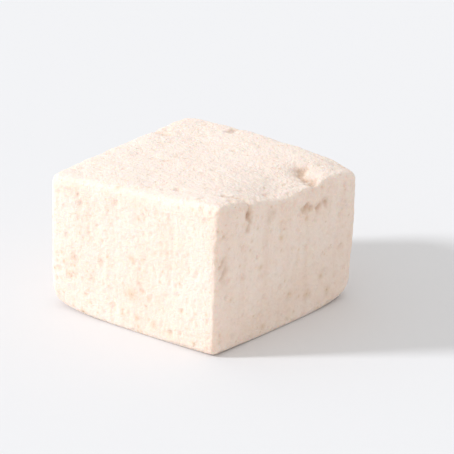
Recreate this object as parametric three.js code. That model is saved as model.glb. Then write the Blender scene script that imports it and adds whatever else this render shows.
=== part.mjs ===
// A whole vanilla marshmallow: one square block, cut by hand from a poured slab of sugar foam.
// Millimetres, +Z up. The origin is on the flat underside, in the middle of the block's box.
// The +X and -Y sides are cut faces that meet at the tallest corner.

import * as THREE from 'three';
import { mergeVertices } from 'three/addons/utils/BufferGeometryUtils.js';

// Plan: the square that the knife left at the foot, and how far the +X side leans out over it at the top
const SIDE = 38.2;
const RIGHT_LEAN = 1.25;

// Height of the top over each corner: the slab was not poured level, nor the top cut level
const HEIGHT_TALL_CORNER = 27.5; // +X -Y
const HEIGHT_LEFT_CORNER = 24.0; // -X -Y
const HEIGHT_LOW_CORNER = 24.3; // +X +Y
const HEIGHT_FAR_CORNER = 24.9; // -X +Y
const CROWN = 0.5; // how far the middle of the top stands above the corners' own level

// Edges: crisp at the tall corner, where the knife came down last, and softer elsewhere
const TALL_UPRIGHT_RADIUS = 1.6;
const OTHER_UPRIGHT_RADIUS = 3.3;
const SHOULDER_RADIUS = 2.1;
const FOOT_RADIUS = 1.0;
const FOOT_WEAR = 4.5; // how much rounder than its edges the foot's corners are worn, at most
const TALL_CORNER_SPARED = 0.8; // how much less the foot is worn under the tall corner

// Slow waves left on the sides and the top by hand cutting and setting: two kinds, of other lengths
const CROSSING_WAVE_DEPTH = 0.13;
const CROSSING_WAVE_LENGTH = 23;
const CROSSING_WAVE_HEIGHT_LENGTH = 29;
const SLANTING_WAVE_DEPTH = 0.09;
const SLANTING_WAVE_LENGTH = 38;
const WAVE_PHASES = { right: 0.4, left: 2.1, far: 1.3, near: 3.2, top: 0.9 };

// How closely waves and dents keep to their own face: the higher, the sooner they fade past its edge
const FACE_GRIP = 8;
const TOP_DENT_GRIP = 4;
const CORNER_GRIP = 3; // the same for the foot's worn corners

// Dents pressed into the top: where, how far each reaches across X and Y, and how deep.
// The low corner droops, a small dent lies beside it, and the middle of the +X edge has sagged.
const TOP_DENTS = [
  { x: 19.1, y: 19.1, reachX: 5.0, reachY: 5.0, depth: 1.3 },
  { x: 15.4, y: 8.0, reachX: 3.6, reachY: 2.8, depth: 0.5 },
  { x: 19.1, y: -1.5, reachX: 7.5, reachY: 8.0, depth: 2.0 },
  { x: -6.5, y: 5.5, reachX: 7.0, reachY: 6.0, depth: 0.4 },
];

// Dents pressed into the +X side: where on that side, how far each reaches, and how deep
const SIDE_DENTS = [
  { y: 6.4, z: 20.4, reach: 2.8, depth: 0.4 },
  { y: -17.0, z: 15.4, reach: 2.6, depth: 0.3 },
];

// Grid: cells along each edge of the plan and up the height, and what still counts as flat
const CELLS_ALONG = 24;
const CELLS_UP = 18;
const FLAT_LIMIT = 0.012;

// Nearer the block's upright axis than this share of its half width, there is no direction to speak of
const AXIS_LIMIT = 1e-6;

// A cell's lines crowd towards the edges, where the surface turns
function crowdToEdges(place) {
  return Math.sin((place * Math.PI) / 2);
}

// The exponent that rounds a square corner of a given half width about as a fillet would
function edgePower(radius, halfWidth) {
  const inset = radius * (1 - Math.SQRT1_2);
  return Math.LN2 / -Math.log(1 - inset / halfWidth);
}

const TALL_UPRIGHT_POWER = edgePower(TALL_UPRIGHT_RADIUS, SIDE / 2);
const OTHER_UPRIGHT_POWER = edgePower(OTHER_UPRIGHT_RADIUS, SIDE / 2);
const SHOULDER_POWER = edgePower(SHOULDER_RADIUS, SIDE / 2);

// A point of the unit cube, drawn in so that the cube's twelve edges are round
function roundEdges(cubePoint) {
  const tallShare = ((1 + cubePoint.x) / 2) * ((1 - cubePoint.y) / 2);
  const upright = THREE.MathUtils.lerp(OTHER_UPRIGHT_POWER, TALL_UPRIGHT_POWER, tallShare);
  const across = Math.abs(cubePoint.x) ** upright;
  const along = Math.abs(cubePoint.y) ** upright;
  const plan = (across + along) ** (1 / upright);
  const planSquared = Math.max(plan, AXIS_LIMIT) ** 2;
  const cornerShare = Math.abs((cubePoint.x * cubePoint.y) / planSquared) ** CORNER_GRIP;
  const footRadius = FOOT_RADIUS + FOOT_WEAR * cornerShare * (1 - TALL_CORNER_SPARED * tallShare);
  const power = cubePoint.z > 0 ? SHOULDER_POWER : edgePower(footRadius, SIDE / 2);
  const reach = (plan ** power + Math.abs(cubePoint.z) ** power) ** (1 / power);
  return cubePoint.divideScalar(reach);
}

// Height of the top, for a place on the plan given from -1 to 1 each way
function topHeight(u, v) {
  const nearSide = THREE.MathUtils.lerp(HEIGHT_LEFT_CORNER, HEIGHT_TALL_CORNER, (u + 1) / 2);
  const farSide = THREE.MathUtils.lerp(HEIGHT_FAR_CORNER, HEIGHT_LOW_CORNER, (u + 1) / 2);
  const level = THREE.MathUtils.lerp(nearSide, farSide, (v + 1) / 2);
  return level + CROWN * (1 - u * u) * (1 - v * v);
}

// A slow wave over a face, from the two distances that lie in it
function wave(a, b, phase) {
  const turn = 2 * Math.PI;
  const along = Math.sin((turn * a) / CROSSING_WAVE_LENGTH + phase);
  const across = Math.cos((turn * b) / CROSSING_WAVE_HEIGHT_LENGTH - 2 * phase);
  const slanting = Math.sin((turn * (a + b)) / SLANTING_WAVE_LENGTH + 3 * phase);
  return CROSSING_WAVE_DEPTH * along * across + SLANTING_WAVE_DEPTH * slanting;
}

// A soft round hollow: 1 at its middle, falling smoothly to nothing
function hollow(a, b) {
  return Math.exp(-(a * a) - b * b);
}

// Where a point of the unit cube's surface lies on the marshmallow
function marshmallowPoint(cubePoint) {
  const { x: u, y: v, z: w } = roundEdges(cubePoint);
  const rise = (w + 1) / 2;
  const lean = (RIGHT_LEAN * rise * (u + 1)) / 2;
  const point = new THREE.Vector3((u * SIDE) / 2, (v * SIDE) / 2, rise * topHeight(u, v));

  // Each face waves only near that face, so the block's middle stays put
  const { x, y, z } = point;
  point.x += wave(y, z, u > 0 ? WAVE_PHASES.right : WAVE_PHASES.left) * Math.abs(u) ** FACE_GRIP;
  point.y += wave(x, z, v > 0 ? WAVE_PHASES.far : WAVE_PHASES.near) * Math.abs(v) ** FACE_GRIP;
  point.z += wave(x, y, WAVE_PHASES.top) * rise ** FACE_GRIP;

  for (const dent of TOP_DENTS) {
    const share = hollow((x - dent.x) / dent.reachX, (y - dent.y) / dent.reachY);
    point.z -= dent.depth * share * rise ** TOP_DENT_GRIP;
  }
  for (const dent of SIDE_DENTS) {
    const share = hollow((y - dent.y) / dent.reach, (z - dent.z) / dent.reach);
    point.x -= dent.depth * share * Math.max(u, 0) ** FACE_GRIP;
  }

  point.x += lean;
  if (point.z < FLAT_LIMIT) {
    point.z = 0;
  }
  return point;
}

// The block's surface: a cube's grid, drawn to the marshmallow's form and stood on the origin
function marshmallowGeometry() {
  const grid = new THREE.BoxGeometry(2, 2, 2, CELLS_ALONG, CELLS_ALONG, CELLS_UP);
  grid.deleteAttribute('normal');
  grid.deleteAttribute('uv');
  grid.clearGroups();
  const geometry = mergeVertices(grid);

  const position = geometry.attributes.position;
  const place = new THREE.Vector3();
  for (let i = 0; i < position.count; i += 1) {
    place.fromBufferAttribute(position, i);
    place.set(crowdToEdges(place.x), crowdToEdges(place.y), crowdToEdges(place.z));
    const point = marshmallowPoint(place);
    position.setXYZ(i, point.x, point.y, point.z);
  }

  geometry.computeBoundingBox();
  const middle = geometry.boundingBox.getCenter(new THREE.Vector3());
  geometry.translate(-middle.x, -middle.y, -geometry.boundingBox.min.z);
  geometry.computeVertexNormals();
  return geometry;
}

// Dry, powdered sugar foam: a warm cream with no shine
const cream = new THREE.MeshStandardMaterial({ color: 0xf7e9da, roughness: 0.92, metalness: 0 });

const marshmallow = new THREE.Mesh(marshmallowGeometry(), cream);
marshmallow.name = 'marshmallow';

const part = new THREE.Group();
part.add(marshmallow);

export default part;
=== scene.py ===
import math
import random

import bpy
import numpy as np
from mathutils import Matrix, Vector, kdtree, noise


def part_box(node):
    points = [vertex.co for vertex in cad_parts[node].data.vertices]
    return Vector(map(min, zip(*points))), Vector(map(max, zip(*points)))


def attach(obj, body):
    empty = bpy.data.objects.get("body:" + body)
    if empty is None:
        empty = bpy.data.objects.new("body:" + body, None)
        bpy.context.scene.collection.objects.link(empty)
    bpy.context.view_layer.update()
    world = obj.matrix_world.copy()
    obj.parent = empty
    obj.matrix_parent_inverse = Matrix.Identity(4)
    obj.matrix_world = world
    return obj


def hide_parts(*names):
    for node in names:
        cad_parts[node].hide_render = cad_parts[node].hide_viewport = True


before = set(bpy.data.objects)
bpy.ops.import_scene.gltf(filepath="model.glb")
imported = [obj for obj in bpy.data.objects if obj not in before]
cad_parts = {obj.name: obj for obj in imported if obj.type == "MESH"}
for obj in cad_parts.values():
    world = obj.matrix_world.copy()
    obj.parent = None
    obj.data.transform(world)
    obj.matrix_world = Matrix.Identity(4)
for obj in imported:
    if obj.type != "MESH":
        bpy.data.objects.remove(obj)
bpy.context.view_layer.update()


# The foam block
# Syrup, gelatine and vanilla whipped to a foam, poured as a slab, left to set and cut square by hand.
# The four sides are cut foam with open bubbles, and the top is the slab's own dusted skin. It lies on
# its flat underside, and one side leans out where the knife slanted.

MM = 0.001
BLOCK_SIDE = 38.2 * MM
RIGHT_LEAN = 1.25 * MM
TALL_CORNER = 27.5 * MM
LEFT_CORNER = 24.0 * MM
LOW_CORNER = 24.3 * MM
FAR_CORNER = 24.9 * MM
CROWN = 0.5 * MM
TALL_UPRIGHT_EDGE = 1.0 * MM
OTHER_UPRIGHT_EDGE = 3.3 * MM
SHOULDER_EDGE = 2.1 * MM
FOOT_EDGE = 1.0 * MM
FOOT_WEAR = 4.5 * MM
TALL_CORNER_SPARED = 0.8
CORNER_GRIP = 3
AXIS_LIMIT = 1e-6

# Dents pressed into the top, in millimetres: where, how far across X and Y, and how deep
TOP_DENTS = (
    (19.1, 19.1, 5.0, 5.0, 1.3),
    (15.4, 8.0, 3.6, 2.8, 0.5),
    (19.1, -1.5, 7.5, 8.0, 2.0),
    (-6.5, 5.5, 7.0, 6.0, 0.4),
)
TOP_DENT_GRIP = 4

FOAM_CELLS_ALONG = 144
FOAM_CELLS_UP = 96
FOAM_SEED = 11

FOAM_CREAM = (0.938, 0.788, 0.688, 1.0)
FOAM_WARM = (0.905, 0.731, 0.617, 1.0)
# Darker streak colour: painted shade in the drag grooves, with the foam's own streaky tone
FOAM_STREAK_AND_SHADE = (0.860, 0.670, 0.559, 1.0)
SKIN_DUSTED = (0.938, 0.803, 0.711, 1.0)
# Painted shade inside the open bubbles
BUBBLE_SHADE = (0.760, 0.570, 0.430, 1.0)
# Painted shade inside the creases and pits
CREASE_PAINTED_SHADE = (0.560, 0.360, 0.225, 1.0)
VANILLA_STAIN = (0.680, 0.470, 0.290, 1.0)


def cube_grid(along, up):
    """The points of a cube's gridded surface, from -1 to 1 and each once, with its four-cornered faces."""
    counts = np.array((along, along, up))
    corners = []
    faces = []
    for axis in range(3):
        a, b = (axis + 1) % 3, (axis + 2) % 3
        rows, columns = np.meshgrid(np.arange(counts[a] + 1), np.arange(counts[b] + 1), indexing="ij")
        numbers = np.arange(rows.size).reshape(rows.shape)
        quads = np.stack((numbers[:-1, :-1], numbers[1:, :-1], numbers[1:, 1:], numbers[:-1, 1:]), axis=-1)
        for side in (0, counts[axis]):
            place = np.zeros((rows.size, 3), int)
            place[:, a] = rows.ravel()
            place[:, b] = columns.ravel()
            place[:, axis] = side
            facing_out = quads if side else quads[..., ::-1]
            faces.append(facing_out.reshape(-1, 4) + sum(len(c) for c in corners))
            corners.append(place)
    places, welded = np.unique(np.concatenate(corners), axis=0, return_inverse=True)
    return 2 * places / counts - 1, welded.reshape(-1)[np.concatenate(faces)]


def edge_power(radius):
    """The exponent that rounds the block's square corner about as a fillet of that radius would."""
    inset = radius * (1 - math.sqrt(0.5))
    return math.log(2) / -np.log(1 - inset / (BLOCK_SIDE / 2))


def round_edges(cube):
    """Draws a cube's points in so that its edges are round, each edge by its own radius."""
    tall_share = (1 + cube[:, 0]) / 2 * (1 - cube[:, 1]) / 2
    crisp, soft = edge_power(TALL_UPRIGHT_EDGE), edge_power(OTHER_UPRIGHT_EDGE)
    upright = soft + (crisp - soft) * tall_share
    plan = (np.abs(cube[:, :2]) ** upright[:, None]).sum(axis=1) ** (1 / upright)
    corner_share = np.abs(cube[:, 0] * cube[:, 1] / np.maximum(plan, AXIS_LIMIT) ** 2) ** CORNER_GRIP
    foot_edge = FOOT_EDGE + FOOT_WEAR * corner_share * (1 - TALL_CORNER_SPARED * tall_share)
    level = edge_power(np.where(cube[:, 2] > 0, SHOULDER_EDGE, foot_edge))
    reach = (plan ** level + np.abs(cube[:, 2]) ** level) ** (1 / level)
    return cube / reach[:, None]


def top_height(u, v):
    """Height of the uneven top over a place on the plan, given from -1 to 1 each way."""
    near = LEFT_CORNER + (TALL_CORNER - LEFT_CORNER) * (u + 1) / 2
    far = FAR_CORNER + (LOW_CORNER - FAR_CORNER) * (u + 1) / 2
    return near + (far - near) * (v + 1) / 2 + CROWN * (1 - u * u) * (1 - v * v)


def block_form(cube):
    """The block as cut: square, rounded, uneven and dented on top, flat below, centred on the origin."""
    u, v, w = round_edges(cube).T
    rise = (w + 1) / 2
    x, y, z = u * BLOCK_SIDE / 2, v * BLOCK_SIDE / 2, rise * top_height(u, v)
    for dent_x, dent_y, reach_x, reach_y, depth in TOP_DENTS:
        fade = ((x / MM - dent_x) / reach_x) ** 2 + ((y / MM - dent_y) / reach_y) ** 2
        z = z - depth * MM * np.exp(-fade) * rise ** TOP_DENT_GRIP
    points = np.stack((x + RIGHT_LEAN * rise * (u + 1) / 2, y, z), axis=1)
    points[:, :2] -= (points[:, :2].min(axis=0) + points[:, :2].max(axis=0)) / 2
    return points


def outward(points, faces):
    """The smooth outward direction at each point."""
    a, b, c, d = (points[faces[:, k]] for k in range(4))
    across = np.cross(c - a, d - b)
    total = np.zeros_like(points)
    for k in range(4):
        np.add.at(total, faces[:, k], across)
    return total / np.linalg.norm(total, axis=1, keepdims=True)


def search_tree(points):
    """A tree that finds the points near a place."""
    tree = kdtree.KDTree(len(points))
    for number, point in enumerate(points.tolist()):
        tree.insert(point, number)
    tree.balance()
    return tree


def grain(points, size, offset=0.0):
    """Smooth noise from -1 to 1 over the points, with lumps of a given size, or sizes along X, Y and Z."""
    scaled = points / np.asarray(size) + offset
    return np.array([noise.noise(p) for p in scaled.tolist()])


def ease(value, low, high):
    """0 below low, 1 above high, and a smooth way between."""
    t = np.clip((value - low) / (high - low), 0, 1)
    return t * t * (3 - 2 * t)


cube_points, foam_faces = cube_grid(FOAM_CELLS_ALONG, FOAM_CELLS_UP)
foam_points = block_form(cube_points)
foam_out = outward(foam_points, foam_faces)
foam_tree = search_tree(foam_points)
skin_share = ease(foam_out[:, 2], 0.25, 0.85)
under_share = ease(-foam_out[:, 2], 0.55, 0.95)
side_share = np.clip(1 - skin_share - under_share, 0, 1)
edge_share = ease(1 - np.abs(foam_out).max(axis=1), 0.03, 0.22)

# How deep and how wide the relief is: slow waves of cutting, the knife's drag, nibbles on the edges,
# wrinkles of the skin, lumps of two sizes, and the fold of the skin below the shoulder
WIDE_WAVE_DEPTH, WIDE_WAVE_SIZE = 0.26 * MM, 12 * MM
WAVE_DEPTH, WAVE_SIZE = 0.14 * MM, 4.6 * MM
DRAG_DEPTH = 0.10 * MM
DRAG_LOST_ON_EDGES = 0.7
NIBBLE_DEPTH, NIBBLE_SIZE = 0.14 * MM, 3.2 * MM
WRINKLE_DEPTH, WRINKLE_SIZE = 0.16 * MM, (5.5 * MM, 3.2 * MM, 4.0 * MM)
LUMP_DEPTH, LUMP_SIZE = 0.09 * MM, 1.7 * MM
FINE_LUMP_DEPTH, FINE_LUMP_SIZE = 0.05 * MM, 0.9 * MM
FOLD_DEPTH, FOLD_WIDTH, FOLD_BELOW = 0.15 * MM, 0.35 * MM, 3.4 * MM

# Slow unevenness of hand cutting, then the upright lines that the knife drags down the cut sides
relief = WIDE_WAVE_DEPTH * grain(foam_points, WIDE_WAVE_SIZE, 3.1)
relief += WAVE_DEPTH * grain(foam_points, WAVE_SIZE, 7.7)
slanted = foam_points + np.outer(foam_points[:, 2], (0.05, -0.04, 0.0))
drag = 0.6 * grain(slanted, (2.2 * MM, 2.2 * MM, 26 * MM), 1.3)
drag += 0.4 * grain(slanted, (0.9 * MM, 0.9 * MM, 9 * MM), 5.9)
relief += DRAG_DEPTH * drag * side_share * (1 - DRAG_LOST_ON_EDGES * edge_share)
# The grooves of the drag get a darker colour: painted shade in the grooves, with the foam's own streaky
# tone
streak_and_shade_share = ease(-drag, 0.0, 0.55) * side_share

# The edges are a little nibbled, the top skin is wrinkled, and the foam is lumpy all over
relief -= NIBBLE_DEPTH * edge_share * (1 + grain(foam_points, NIBBLE_SIZE, 8.8)) / 2
relief += WRINKLE_DEPTH * grain(foam_points, WRINKLE_SIZE, 9.2) * skin_share
relief += LUMP_DEPTH * grain(foam_points, LUMP_SIZE, 4.4) * (0.5 + 0.5 * skin_share)
relief += FINE_LUMP_DEPTH * grain(foam_points, FINE_LUMP_SIZE, 2.8)

# Marks of handling, each a broken crease or pit along a line on the block, in millimetres:
# the line's turning points, its width, its depth, and how much painted shade darkens it inside
HANDLING_MARKS = (
    (((15.4, -12.2, 26.4), (17.2, -11.2, 26.2), (18.6, -10.5, 25.8)), 0.8, 0.60, 0.55),
    (((18.6, -10.5, 25.8), (19.5, -11.1, 23.8)), 0.7, 0.65, 0.75),
    (((19.5, -11.1, 23.8), (19.5, -10.8, 22.4), (19.5, -11.3, 21.0)), 0.6, 0.28, 0.50),
    (((14.0, 9.2, 25.0), (15.6, 7.6, 24.8), (16.8, 7.6, 24.6), (18.4, 6.5, 24.4)), 1.2, 0.50, 0.70),
    (((19.6, 3.4, 20.2), (19.6, 4.4, 20.6), (19.6, 5.2, 20.3)), 0.65, 0.35, 0.50),
    (((19.6, 7.2, 20.0), (19.6, 8.2, 20.6), (19.6, 9.3, 20.4)), 0.75, 0.50, 0.70),
    (((19.1, -17.6, 12.8), (19.2, -17.3, 15.0), (19.2, -17.6, 17.4)), 0.8, 0.28, 0.50),
    (((19.6, -5.6, 21.8), (19.6, -4.8, 22.4)), 0.9, 0.12, 0.40),
    (((-15.0, 8.0, 25.0), (-18.8, 8.6, 24.0), (-19.6, 9.0, 20.8)), 0.8, 0.50, 0.35),
    (((-19.6, -6.4, 11.0), (-19.6, -5.0, 11.5)), 0.6, 0.45, 0.45),
    (((4.0, 19.2, 18.4), (5.6, 19.2, 18.9), (7.2, 19.2, 18.6)), 0.6, 0.50, 0.50),
    (((-7.0, 15.8, 25.6), (-7.6, 18.8, 24.2)), 0.9, 0.45, 0.25),
    (((-12.0, 19.2, 7.0), (-11.6, 19.2, 9.4)), 0.6, 0.40, 0.40),
)


def press_line(turns, width):
    """How much of a ragged crease along a line of turning points there is at each point, from 0 to 1."""
    stops = [np.array(foam_tree.find(Vector(turn) * MM)[0]) for turn in turns]
    nearest = np.full(len(foam_points), np.inf)
    for start, end in zip(stops, stops[1:]):
        run = end - start
        along = np.clip((foam_points - start) @ run / (run @ run), 0, 1)
        gap = np.linalg.norm(foam_points - start - np.outer(along, run), axis=1)
        nearest = np.minimum(nearest, gap)
    close = nearest < 4 * width
    ragged = 1 + 0.5 * grain(foam_points[close], 1.3 * MM, 6.6)
    ragged += 0.3 * grain(foam_points[close], 0.7 * MM, 1.9)
    broken = 0.35 + 0.65 * ease(grain(foam_points[close], 1.5 * MM, 3.3), -0.35, 0.3)
    share = np.zeros(len(foam_points))
    share[close] = broken * np.exp(-((nearest[close] / (width * ragged)) ** 2))
    return share


# Painted shade inside each crease and pit, strongest along its line
crease_shade_share = np.zeros(len(foam_points))
for turns, width, depth, painted_shade in HANDLING_MARKS:
    mark = press_line(turns, width * MM)
    relief -= depth * MM * mark
    crease_shade_share = np.maximum(crease_shade_share, painted_shade * mark)

# Where the skin folds over the cut edge, a faint broken line runs under the shoulder
plan_u = np.clip(foam_points[:, 0] / (BLOCK_SIDE / 2), -1, 1)
plan_v = np.clip(foam_points[:, 1] / (BLOCK_SIDE / 2), -1, 1)
below_top = top_height(plan_u, plan_v) - foam_points[:, 2]
fold_below = FOLD_BELOW + 0.5 * MM * grain(foam_points, 6 * MM, 6.3)
fold_share = ease(grain(foam_points, 8 * MM, 12.5), -0.15, 0.4)
fold_line = np.exp(-(((below_top - fold_below) / FOLD_WIDTH) ** 2))
relief -= FOLD_DEPTH * fold_share * fold_line * side_share

# Open bubbles, by where they are, how many, how wide and how deep in millimetres: the cut sides are full
# of them, the skin has few. Each bowl also gets painted shade in its colour
random.seed(FOAM_SEED)
side_numbers = np.flatnonzero(side_share > 0.6).tolist()
skin_numbers = np.flatnonzero(skin_share > 0.6).tolist()
BUBBLES = (
    (side_numbers, 3400, 0.36, 0.09),
    (side_numbers, 260, 0.55, 0.20),
    (side_numbers, 26, 0.80, 0.32),
    (skin_numbers, 420, 0.40, 0.08),
    (skin_numbers, 24, 0.60, 0.18),
)
bubble_shade_share = np.zeros(len(foam_points))
for numbers, count, width, depth in BUBBLES:
    for centre in random.sample(numbers, count):
        size = random.lognormvariate(0, 0.25)
        reach = width * size * MM
        for _, number, gap in foam_tree.find_range(foam_points[centre].tolist(), reach):
            bowl = (1 - (gap / reach) ** 2) ** 1.5
            relief[number] -= depth * size * MM * bowl
            bubble_shade_share[number] = max(bubble_shade_share[number], bowl)

foam_points = foam_points + foam_out * (relief * (1 - under_share))[:, None]
foam_points[:, 2] = np.maximum(foam_points[:, 2], 0)

foam_mesh = bpy.data.meshes.new("foam_block")
foam_mesh.from_pydata(foam_points.tolist(), [], foam_faces.tolist())
foam_mesh.shade_smooth()
foam_block = bpy.data.objects.new("foam_block", foam_mesh)
bpy.context.scene.collection.objects.link(foam_block)


def paint_share(piece, name, shares):
    """Stores one number for each point of a piece, for its material to read."""
    layer = piece.data.attributes.new(name, "FLOAT", "POINT")
    layer.data.foreach_set("value", np.asarray(shares, np.float32))


paint_share(foam_block, "skin", skin_share)
paint_share(foam_block, "streak_and_groove_shade", streak_and_shade_share)
paint_share(foam_block, "bubble_shade", bubble_shade_share)
paint_share(foam_block, "crease_shade", crease_shade_share)


def new_material(name):
    """A material with one shader, its nodes and a way to join them."""
    material = bpy.data.materials.new(name)
    material.use_nodes = True
    return material, material.node_tree.nodes, material.node_tree.links


def mix_colours(nodes, links, share, under, over):
    """A node that goes from one colour, or a socket that gives one, to another by a share."""
    mix = nodes.new("ShaderNodeMix")
    mix.data_type = "RGBA"
    for socket, value in ((mix.inputs["Factor"], share), (mix.inputs[6], under), (mix.inputs[7], over)):
        if isinstance(value, bpy.types.NodeSocket):
            links.new(value, socket)
        else:
            socket.default_value = value
    return mix.outputs[2]


def lumps(nodes, links, size, detail, low, high, most=1.0):
    """Noise of a given lump size over the block, stretched so that low and high become 0 and the most."""
    place = nodes.new("ShaderNodeTexCoord")
    texture = nodes.new("ShaderNodeTexNoise")
    texture.inputs["Scale"].default_value = 1 / size
    texture.inputs["Detail"].default_value = detail
    links.new(place.outputs["Object"], texture.inputs["Vector"])
    spread = nodes.new("ShaderNodeMapRange")
    spread.inputs["From Min"].default_value = low
    spread.inputs["From Max"].default_value = high
    spread.inputs["To Max"].default_value = most
    links.new(texture.outputs["Fac"], spread.inputs["Value"])
    return spread.outputs["Result"]


def stored_share(nodes, links, name, most):
    """A share painted on the piece's points, times the most that it may come to."""
    layer = nodes.new("ShaderNodeAttribute")
    layer.attribute_name = name
    scale = nodes.new("ShaderNodeMath")
    scale.operation = "MULTIPLY"
    scale.inputs[1].default_value = most
    links.new(layer.outputs["Fac"], scale.inputs[0])
    return scale.outputs["Value"]


foam, nodes, links = new_material("dusted_foam")
shader = nodes["Principled BSDF"]
colour = mix_colours(nodes, links, lumps(nodes, links, 8 * MM, 3, 0.38, 0.72), FOAM_CREAM, FOAM_WARM)
colour = mix_colours(nodes, links, stored_share(nodes, links, "skin", 0.8), colour, SKIN_DUSTED)
colour = mix_colours(nodes, links, lumps(nodes, links, 1.7 * MM, 2, 0.48, 0.78, 0.55), colour, FOAM_WARM)
# Darker streaks down the cut sides: painted shade in the drag grooves, with the foam's own streaky tone
colour = mix_colours(nodes, links, stored_share(nodes, links, "streak_and_groove_shade", 0.5), colour, FOAM_STREAK_AND_SHADE)
# Painted shade inside the open bubbles
colour = mix_colours(nodes, links, stored_share(nodes, links, "bubble_shade", 0.15), colour, BUBBLE_SHADE)
# Painted shade inside the creases and pits
colour = mix_colours(nodes, links, stored_share(nodes, links, "crease_shade", 1.0), colour, CREASE_PAINTED_SHADE)
colour = mix_colours(nodes, links, stored_share(nodes, links, "vanilla_stain", 0.6), colour, VANILLA_STAIN)
links.new(colour, shader.inputs["Base Color"])
rough = nodes.new("ShaderNodeMapRange")
rough.inputs["To Min"].default_value = 0.86
rough.inputs["To Max"].default_value = 0.98
links.new(lumps(nodes, links, 1.4 * MM, 2, 0.3, 0.7), rough.inputs["Value"])
links.new(rough.outputs["Result"], shader.inputs["Roughness"])
froth = nodes.new("ShaderNodeBump")
froth.inputs["Strength"].default_value = 0.6
froth.inputs["Distance"].default_value = 0.16 * MM
links.new(lumps(nodes, links, 0.55 * MM, 2, 0.3, 0.7), froth.inputs["Height"])
powder = nodes.new("ShaderNodeBump")
powder.inputs["Strength"].default_value = 0.5
powder.inputs["Distance"].default_value = 0.08 * MM
links.new(lumps(nodes, links, 0.26 * MM, 2, 0.3, 0.7), powder.inputs["Height"])
links.new(froth.outputs["Normal"], powder.inputs["Normal"])
links.new(powder.outputs["Normal"], shader.inputs["Normal"])
shader.inputs["Diffuse Roughness"].default_value = 0.15
shader.inputs["Subsurface Weight"].default_value = 0.3
shader.inputs["Subsurface Radius"].default_value = (1.0, 0.6, 0.4)
shader.inputs["Subsurface Scale"].default_value = 1.8 * MM
shader.inputs["Specular IOR Level"].default_value = 0.15
shader.inputs["Sheen Weight"].default_value = 0.08
shader.inputs["Sheen Roughness"].default_value = 0.5
foam_block.data.materials.append(foam)

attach(foam_block, "root")
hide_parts("marshmallow")


# The vanilla specks
# Ground vanilla pod stirred into the foam: flat brown flakes, most of them finer than a sugar grain.
# They sit half sunk in the surface and stain the foam a light tan around them.

SPECK_SEED = 23
SPECK_BROWN = (0.300, 0.165, 0.075, 1.0)
SPECK_TAN = (0.520, 0.340, 0.190, 1.0)
FINE_SPECKS = ((18, 0.36 * MM), (170, 0.17 * MM))
SPECK_FLATNESS = 0.45
STAIN_REACH = 2.6

# The flakes that show one by one, in millimetres: where on the block, and how wide
LARGE_SPECKS = (
    (0.2, -19.1, 7.0, 0.80),
    (5.0, -19.1, 2.8, 0.50),
    (1.4, -19.1, 3.1, 0.38),
    (-13.7, -19.1, 7.2, 0.42),
    (-10.9, -19.0, 0.8, 0.45),
    (18.8, 0.6, 5.7, 0.50),
    (18.7, 5.3, 4.2, 0.55),
    (18.7, 10.9, 3.5, 0.50),
    (18.6, -6.3, 1.9, 0.42),
    (19.1, -7.4, 13.2, 0.40),
)

foam_out = outward(foam_points, foam_faces)
foam_tree = search_tree(foam_points)


def round_lump():
    """The points and faces of a twenty-sided ball."""
    golden = (1 + math.sqrt(5)) / 2
    signs = [(s, t * golden) for s in (-1, 1) for t in (-1, 1)]
    ball = [(0, s, t) for s, t in signs] + [(s, t, 0) for s, t in signs] + [(t, 0, s) for s, t in signs]
    points = np.array(ball) / math.hypot(1, golden)
    near = np.linalg.norm(points[:, None] - points[None], axis=2) < 1.2
    faces = []
    for a in range(12):
        for b in range(a + 1, 12):
            for c in range(b + 1, 12):
                if near[a, b] and near[b, c] and near[a, c]:
                    turn = np.dot(np.cross(points[b] - points[a], points[c] - points[a]), points[a])
                    faces.append((a, b, c) if turn > 0 else (a, c, b))
    return points, np.array(faces)


ball_points, ball_faces = round_lump()


def scatter_lumps(numbers, sizes, chance, flatness, sink):
    """The points and faces of many small dented lumps, each laid on a point of the foam and sunk in it."""
    points = []
    for number, size in zip(numbers, sizes):
        lay = np.array(Vector(foam_out[number]).to_track_quat("Z", "Y").to_matrix())
        spin = chance.uniform(0, math.tau)
        cosine, sine = math.cos(spin), math.sin(spin)
        turn = np.array(((cosine, -sine, 0), (sine, cosine, 0), (0, 0, 1)))
        stretch = np.array((chance.uniform(0.8, 1.3), chance.uniform(0.55, 0.9), flatness))
        dented = ball_points * np.array([[chance.uniform(0.75, 1.15)] for _ in ball_points])
        lump = (dented * stretch * size / 2) @ turn.T @ lay.T
        points.append(lump + foam_points[number] - foam_out[number] * size * flatness * sink)
    faces = [ball_faces + k * len(ball_points) for k in range(len(points))]
    return np.concatenate(points), np.concatenate(faces)


chance = random.Random(SPECK_SEED)
foot_weight = 1 + 1.5 * np.exp(-foam_points[:, 2] / (5 * MM))
outside = np.flatnonzero(under_share < 0.5)
speck_numbers = [foam_tree.find((x * MM, y * MM, z * MM))[1] for x, y, z, _ in LARGE_SPECKS]
speck_sizes = [width * MM for _, _, _, width in LARGE_SPECKS]
for count, size in FINE_SPECKS:
    speck_numbers += chance.choices(outside.tolist(), foot_weight[outside].tolist(), k=count)
    speck_sizes += [size * chance.lognormvariate(0, 0.25) for _ in range(count)]
speck_points, speck_faces = scatter_lumps(speck_numbers, speck_sizes, chance, SPECK_FLATNESS, 0.4)

stain = np.zeros(len(foam_points))
for centre, size in zip(speck_numbers, speck_sizes):
    reach = size * STAIN_REACH
    for _, number, gap in foam_tree.find_range(foam_points[centre].tolist(), reach):
        stain[number] = max(stain[number], (1 - gap / reach) ** 1.5)
paint_share(foam_block, "vanilla_stain", stain)

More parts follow.
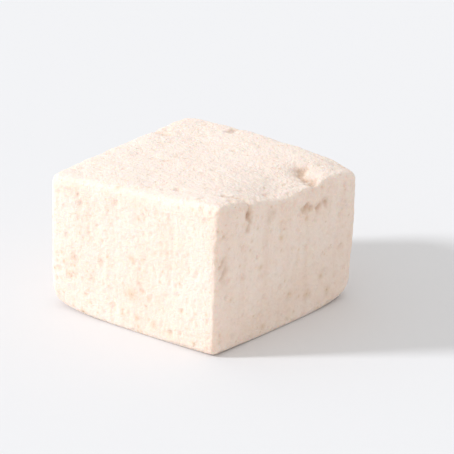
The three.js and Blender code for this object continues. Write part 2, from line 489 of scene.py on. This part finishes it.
speck_mesh = bpy.data.meshes.new("vanilla_specks")
speck_mesh.from_pydata(speck_points.tolist(), [], speck_faces.tolist())
speck_mesh.shade_smooth()
vanilla_specks = bpy.data.objects.new("vanilla_specks", speck_mesh)
bpy.context.scene.collection.objects.link(vanilla_specks)

pod, nodes, links = new_material("ground_vanilla_pod")
shader = nodes["Principled BSDF"]
colour = mix_colours(nodes, links, lumps(nodes, links, 2.5 * MM, 1, 0.35, 0.65), SPECK_BROWN, SPECK_TAN)
links.new(colour, shader.inputs["Base Color"])
shader.inputs["Roughness"].default_value = 0.8
shader.inputs["Specular IOR Level"].default_value = 0.2
vanilla_specks.data.materials.append(pod)

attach(vanilla_specks, "root")


# The dusting
# Starch and icing sugar tossed over the cut block so that it doesn't stick.
# It clings as pale clots on the skin, along the edges and in a thin scatter on the cut sides.

DUST_SEED = 37
DUST_PALE = (0.945, 0.880, 0.810, 1.0)
DUST_CREAM = (0.930, 0.820, 0.725, 1.0)
DUST_COUNT = 3600
DUST_SIZE = 0.15 * MM
DUST_FLATNESS = 0.7

chance = random.Random(DUST_SEED)
clotted = ease(grain(foam_points, 3.5 * MM, 14.2), -0.2, 0.5)
dust_weight = (0.25 + clotted) * (0.5 + skin_share) + 0.8 * np.exp(-foam_points[:, 2] / (2 * MM))
dust_numbers = chance.choices(outside.tolist(), dust_weight[outside].tolist(), k=DUST_COUNT)
dust_sizes = [DUST_SIZE * chance.lognormvariate(0, 0.35) for _ in range(DUST_COUNT)]
dust_points, dust_faces = scatter_lumps(dust_numbers, dust_sizes, chance, DUST_FLATNESS, 0.3)
dust_points[:, 2] = np.maximum(dust_points[:, 2], 0)

dust_mesh = bpy.data.meshes.new("starch_dusting")
dust_mesh.from_pydata(dust_points.tolist(), [], dust_faces.tolist())
dust_mesh.shade_smooth()
starch_dusting = bpy.data.objects.new("starch_dusting", dust_mesh)
bpy.context.scene.collection.objects.link(starch_dusting)

starch, nodes, links = new_material("starch_and_sugar")
shader = nodes["Principled BSDF"]
colour = mix_colours(nodes, links, lumps(nodes, links, 1.5 * MM, 1, 0.35, 0.65), DUST_PALE, DUST_CREAM)
links.new(colour, shader.inputs["Base Color"])
shader.inputs["Roughness"].default_value = 0.95
shader.inputs["Specular IOR Level"].default_value = 0.2
starch_dusting.data.materials.append(starch)

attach(starch_dusting, "root")


# The table and the light
# A wide pale table sheet that rises a little far away, a white room for fill, and one soft key light from
# the left that throws a long shadow to the right. The camera looks at the tall corner from a little above.

TABLE_SIDES = 96
TABLE_FLAT = 1.0
TABLE_RADIUS = 25.0
TABLE_RISE = 0.6
TABLE_PALE = (0.806, 0.806, 0.813, 1.0)
ROOM_LIGHT = 0.79
KEY_LIGHT = 2.22
KEY_WHITE = (0.975, 1.0, 1.05)
KEY_HEIGHT = math.radians(28)
KEY_AHEAD = math.radians(5)
KEY_SOFTNESS = math.radians(9)
VIEW_AZIMUTH = math.radians(40.4)
VIEW_ELEVATION = math.radians(21.3)
VIEW_DISTANCE = 0.856
VIEW_WIDTH = 0.078
VIEW_ASIDE = 4.0 * MM

turn = np.linspace(0, 2 * math.pi, TABLE_SIDES, endpoint=False)
rim = np.stack([np.cos(turn), np.sin(turn), np.zeros(TABLE_SIDES)], axis=1)
table_points = np.concatenate([rim * TABLE_FLAT, rim * TABLE_RADIUS + (0, 0, TABLE_RISE)])
table_faces = [list(range(TABLE_SIDES))]
for side in range(TABLE_SIDES):
    following = (side + 1) % TABLE_SIDES
    table_faces.append([side, side + TABLE_SIDES, following + TABLE_SIDES, following])
table_mesh = bpy.data.meshes.new("table_top")
table_mesh.from_pydata(table_points.tolist(), [], table_faces)
table = bpy.data.objects.new("table_top", table_mesh)
bpy.context.scene.collection.objects.link(table)
paper, nodes, links = new_material("pale_table")
shader = nodes["Principled BSDF"]
shader.inputs["Base Color"].default_value = TABLE_PALE
shader.inputs["Roughness"].default_value = 0.8
shader.inputs["Specular IOR Level"].default_value = 0.1
table.data.materials.append(paper)

room = bpy.data.worlds.new("white_room")
room.use_nodes = True
room.node_tree.nodes["Background"].inputs["Color"].default_value = (1, 1, 1, 1)
room.node_tree.nodes["Background"].inputs["Strength"].default_value = ROOM_LIGHT
bpy.context.scene.world = room

rightward = Vector((math.cos(VIEW_AZIMUTH), math.sin(VIEW_AZIMUTH), 0))
away = Vector((-math.sin(VIEW_AZIMUTH), math.cos(VIEW_AZIMUTH), 0))
upward = Vector((0, 0, 1))

to_key = -(away * math.sin(KEY_AHEAD) + rightward * math.cos(KEY_AHEAD)) * math.cos(KEY_HEIGHT)
to_key += upward * math.sin(KEY_HEIGHT)
key = bpy.data.objects.new("key_light", bpy.data.lights.new("key_light", "SUN"))
key.data.energy = KEY_LIGHT
key.data.color = KEY_WHITE
key.data.angle = KEY_SOFTNESS
key.rotation_euler = to_key.to_track_quat("Z", "Y").to_euler()
bpy.context.scene.collection.objects.link(key)

block_low, block_high = (Vector(corner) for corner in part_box("marshmallow"))
aim = (block_low + block_high) / 2 + rightward * VIEW_ASIDE
back = upward * math.sin(VIEW_ELEVATION) - away * math.cos(VIEW_ELEVATION)
camera = bpy.data.objects.new("camera", bpy.data.cameras.new("camera"))
camera.data.lens = camera.data.sensor_width * VIEW_DISTANCE / VIEW_WIDTH
camera.location = aim + back * VIEW_DISTANCE
camera.rotation_euler = back.to_track_quat("Z", "Y").to_euler()
bpy.context.scene.collection.objects.link(camera)
bpy.context.scene.camera = camera
bpy.context.scene.view_settings.view_transform = "Standard"
